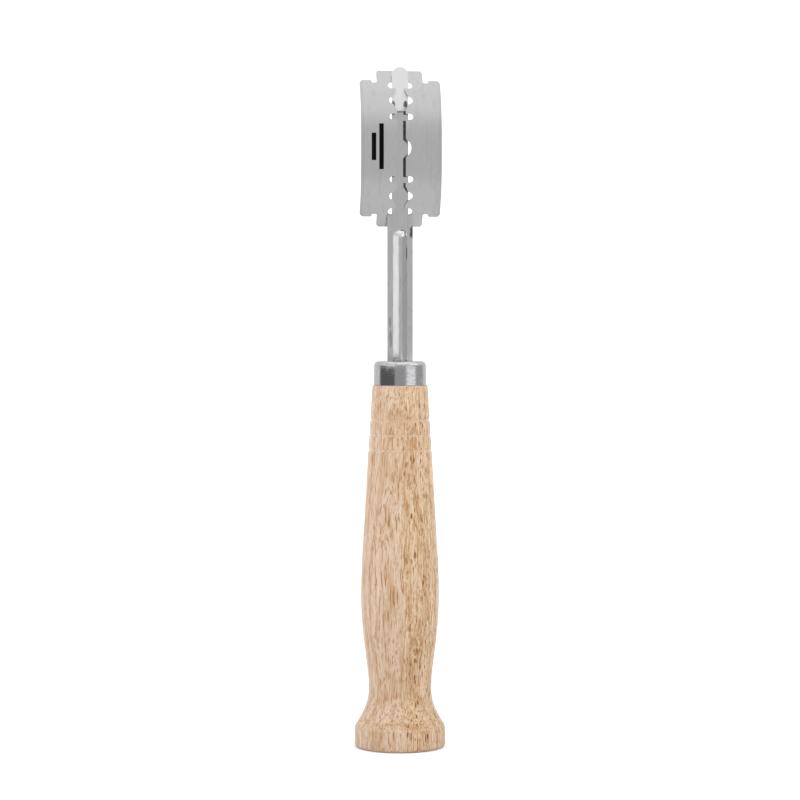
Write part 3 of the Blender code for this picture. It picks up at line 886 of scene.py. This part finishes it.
def filled_outline(outlines, thickness):
    """A flat plate in the XY plane from closed outlines, each one inside another being a hole."""
    curve = bpy.data.curves.new("flat_blade", "CURVE")
    curve.dimensions = "2D"
    curve.fill_mode = "BOTH"
    curve.extrude = thickness / 2 * MM
    for outline in outlines:
        spline = curve.splines.new("POLY")
        spline.points.add(len(outline) - 1)
        for point, (x, y) in zip(spline.points, outline):
            point.co = (x * MM, y * MM, 0.0, 1.0)
        spline.use_cyclic_u = True
    flat = added("flat_blade", curve)
    mesh = evaluated_mesh(flat)
    bpy.data.objects.remove(flat, do_unlink=True)
    bm = bmesh.new()
    bm.from_mesh(mesh)
    bmesh.ops.remove_doubles(bm, verts=bm.verts, dist=OUTLINE_MERGE)
    return bm


def bow_angle(along):
    """How far the blade leans back at this distance from its centre: more and more, up to the notches."""
    return BLADE_END_ANGLE * min(abs(along) / BEND_END, 1.0) ** 2


def bow_stations():
    """Points along half of the bowed blade: length from its centre, backward and upward travel."""
    count = round(BEND_END / BLADE_SLICE)
    lengths = [BEND_END * i / count for i in range(count + 1)] + [BLADE_HALF_LENGTH]
    stations = []
    back, up, travelled = 0.0, 0.0, 0.0
    for length in lengths:
        for i in range(BEND_STEPS):
            angle = bow_angle(travelled + (length - travelled) * (i + 0.5) / BEND_STEPS)
            back += math.sin(angle) * (length - travelled) / BEND_STEPS
            up += math.cos(angle) * (length - travelled) / BEND_STEPS
        travelled = length
        stations.append((length, back, up))
    return stations


def bowed(stations, along, outward):
    """Where a point of the flat blade goes: backward and upward."""
    for start, end in zip(stations, stations[1:]):
        if abs(along) <= end[0] + 1e-9:
            break
    share = (abs(along) - start[0]) / (end[0] - start[0])
    back, up = (a + (b - a) * share for a, b in zip(start[1:], end[1:]))
    angle = bow_angle(along)
    back -= outward * math.cos(angle)
    up += outward * math.sin(angle)
    return back, math.copysign(up, along)


def slice_at(bm, axis, value):
    """Cuts the bmesh's faces along a plane square to the axis, and keeps both sides."""
    point = [0.0, 0.0, 0.0]
    point[axis] = value * MM
    normal = [0.0, 0.0, 0.0]
    normal[axis] = 1.0
    geometry = bm.verts[:] + bm.edges[:] + bm.faces[:]
    bmesh.ops.bisect_plane(bm, geom=geometry, dist=1e-7, plane_co=point, plane_no=normal)


def make_blade():
    """The flat blade, sliced finely, ground thin along its edges and bent about its notches."""
    bm = filled_outline((blade_outline(), blade_slot()), BLADE_THICKNESS)
    stations = bow_stations()
    levels = {side * station[0] for station in stations[:-1] for side in (-1, 1)}
    for level in sorted(levels):
        slice_at(bm, 1, level)
    grind = BLADE_HALF_WIDTH - BLADE_GRIND_WIDTH
    for level in (-grind, grind):
        slice_at(bm, 0, level)
    notch_back = bowed(stations, NOTCH_CENTRE, 0.0)[0]
    for vert in bm.verts:
        beyond = max(0.0, abs(vert.co.x) / MM - grind) / BLADE_GRIND_WIDTH
        outward = vert.co.z / MM * (1.0 - BLADE_GRIND_THINNING * beyond)
        back, up = bowed(stations, vert.co.y / MM, outward)
        vert.co.y = (back - notch_back) * MM
        vert.co.z = (BLADE_CENTRE_Z + up) * MM
    mesh = mesh_of("blade_bowed", bm, 20.0)
    add_piece("blade_bowed", mesh, "blade", "razor_blade", blade_material())


# ---------------------------------------------------------------- studio


def seen_only_by(piece, kind):
    """Hides the piece from every kind of ray but this one."""
    for ray in RAY_KINDS:
        setattr(piece, "visible_" + ray, ray == kind)


def paper_material():
    """White paper, very slightly mottled."""
    s = Shader("studio_paper")
    mottle = s.noise(s.millimetres(), (0.01, 0.01, 0.01), 2.0)
    pale, dim = PAPER_WHITE, PAPER_WHITE * 0.985
    shade = s.mix(mottle, rgb(pale, pale, pale), rgb(dim, dim, dim))
    return s.finish(Base_Color=shade, Roughness=0.7)


def make_floor():
    """A pale floor that curves up into a backdrop behind the tool."""
    bm = bmesh.new()
    half, bend = FLOOR_HALF_WIDTH, BACKDROP_BEND
    level_end = BACKDROP_DISTANCE - bend
    section = [(-FLOOR_FRONT, 0.0), (level_end, 0.0)]
    for degrees in range(9, 91, 9):
        angle = math.radians(degrees)
        section.append((level_end + bend * math.sin(angle), bend - bend * math.cos(angle)))
    section.append((BACKDROP_DISTANCE, BACKDROP_HEIGHT))
    rows = [[bm.verts.new((x, y, z)) for x in (-half, half)] for y, z in section]
    for low, high in zip(rows, rows[1:]):
        bm.faces.new((low[0], low[1], high[1], high[0]))
    mesh = mesh_of("studio_floor", bm)
    mesh.materials.append(paper_material())
    floor = added("studio_floor", mesh)
    floor.visible_glossy = False


def make_far_wall():
    """A white wall all round, far outside the lamps, that only a camera sees."""
    bm = bmesh.new()
    radius = FAR_WALL_RADIUS
    bmesh.ops.create_cone(bm, segments=48, radius1=radius, radius2=radius, depth=FAR_WALL_HEIGHT)
    mesh = mesh_of("studio_far_wall", bm)
    s = Shader("studio_white")
    white = rgb(1.0, 1.0, 1.0)
    mesh.materials.append(s.finish(Base_Color=white, Emission_Color=white, Emission_Strength=1.0))
    wall = added("studio_far_wall", mesh)
    seen_only_by(wall, "camera")


def area_light(name, place, target, size, power):
    """A soft lamp that lights the tool but doesn't show as a spot in the steel."""
    light = bpy.data.lights.new(name, "AREA")
    light.shape = "RECTANGLE"
    light.size, light.size_y = size
    light.energy = power
    lamp = added(name, light)
    lamp.location = place
    lamp.rotation_euler = (Vector(target) - Vector(place)).to_track_quat("-Z", "Y").to_euler()
    lamp.visible_glossy = False


def azimuth_of(s, axes):
    """The direction round the tool, in degrees, from a direction's or a place's axes."""
    return s.math("DEGREES", s.math("ARCTAN2", axes[0], s.times(axes[1], -1.0)))


def changed_light(s, light, inside, strength):
    """The light, brought to this strength where inside is 1."""
    return s.math("ADD", light, s.times(inside, s.math("SUBTRACT", strength, light)))


def make_world():
    """A grey room for the steel: brighter overhead, softboxes left and high right, darker sides."""
    world = bpy.data.worlds.new("studio")
    bpy.context.scene.world = world
    world.use_nodes = True
    s = Nodes(world.node_tree)
    axes = s.split(s.node("ShaderNodeTexCoord").outputs["Generated"])
    elevation = s.math("DEGREES", s.math("ARCSINE", axes[2]))
    azimuth = azimuth_of(s, axes)
    light = s.ramp(elevation, 6.0, 22.0, HORIZON_LIGHT, HIGH_LIGHT)
    light = s.math("ADD", light, s.ramp(elevation, 45.0, 65.0, 0.0, OVERHEAD_LIGHT - HIGH_LIGHT))
    light = s.math("ADD", light, s.ramp(elevation, -3.0, -14.0, 0.0, FLOOR_LIGHT - HORIZON_LIGHT))
    for left, right, soft, low, high, strength in SURROUND:
        inside = s.times(s.window(azimuth, left, right, soft), s.window(elevation, low, high, 8.0))
        light = changed_light(s, light, inside, strength)
    background = s.tree.nodes["Background"].inputs
    background["Color"].default_value = rgb(1.0, 1.0, 1.0)
    s.feed(background["Strength"], light)


def card_material():
    """A dim card with a dark band on the left and a bright one on the right."""
    s = Shader("studio_card_print")
    azimuth = azimuth_of(s, s.split(s.millimetres()))
    light = CARD_BRIGHTNESS
    for left, right, soft, strength in CARD_BANDS:
        light = changed_light(s, light, s.window(azimuth, left, right, soft), strength)
    black = rgb(0.0, 0.0, 0.0)
    white = rgb(1.0, 1.0, 1.0)
    s.finish(Base_Color=black, Roughness=1.0, Specular_IOR_Level=0.0, Emission_Color=white)
    return s.finish(Emission_Strength=light)


def make_reflected_card():
    """A card curved round the ferrule that shows only as a reflection in the steel."""
    bm = bmesh.new()
    rows = []
    for step in range(CARD_STEPS + 1):
        share = step / CARD_STEPS
        azimuth = math.radians(CARD_SIDES[0] + (CARD_SIDES[1] - CARD_SIDES[0]) * share)
        x, y = math.sin(azimuth) * CARD_DISTANCE, -math.cos(azimuth) * CARD_DISTANCE
        rows.append([bm.verts.new(Vector((x, y, height)) * MM) for height in CARD_HEIGHTS])
    for near, far in zip(rows, rows[1:]):
        bm.faces.new((near[0], far[0], far[1], near[1]))
    mesh = mesh_of("studio_card", bm)
    mesh.materials.append(card_material())
    card = added("studio_card", mesh)
    seen_only_by(card, "glossy")


def make_lights():
    area_light("front_right", (0.6, -0.9, 0.7), LAMP_TARGET, (0.8, 0.8), 0.4)
    area_light("front_left", (-0.7, -0.8, 0.6), LAMP_TARGET, (0.8, 0.8), 0.12)
    area_light("backdrop", (0.0, -0.1, 1.6), (0.0, 1.0, 0.4), (1.6, 0.6), 13.0)


def make_camera():
    data = bpy.data.cameras.new("camera")
    data.lens = CAMERA_LENS
    data.sensor_width = CAMERA_SENSOR
    camera = added("camera", data)
    back = Vector((math.sin(CAMERA_AZIMUTH), -math.cos(CAMERA_AZIMUTH), 0.0))
    camera.location = back * CAMERA_DISTANCE + Vector((0.0, 0.0, CAMERA_HEIGHT))
    forward = -back * math.cos(CAMERA_PITCH) + Vector((0.0, 0.0, math.sin(CAMERA_PITCH)))
    camera.rotation_euler = forward.to_track_quat("-Z", "Y").to_euler()
    bpy.context.scene.camera = camera


def coat_adhesive():
    """The adhesive keeps its CAD shape, because none of it shows."""
    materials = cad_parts["tang_adhesive"].data.materials
    materials.clear()
    materials.append(adhesive_material())


def main():
    make_handle()
    make_ferrule()
    make_brad()
    make_strip()
    make_blade()
    coat_adhesive()
    make_floor()
    make_far_wall()
    make_reflected_card()
    make_lights()
    make_world()
    make_camera()
    bpy.context.scene.view_settings.view_transform = "Standard"


main()
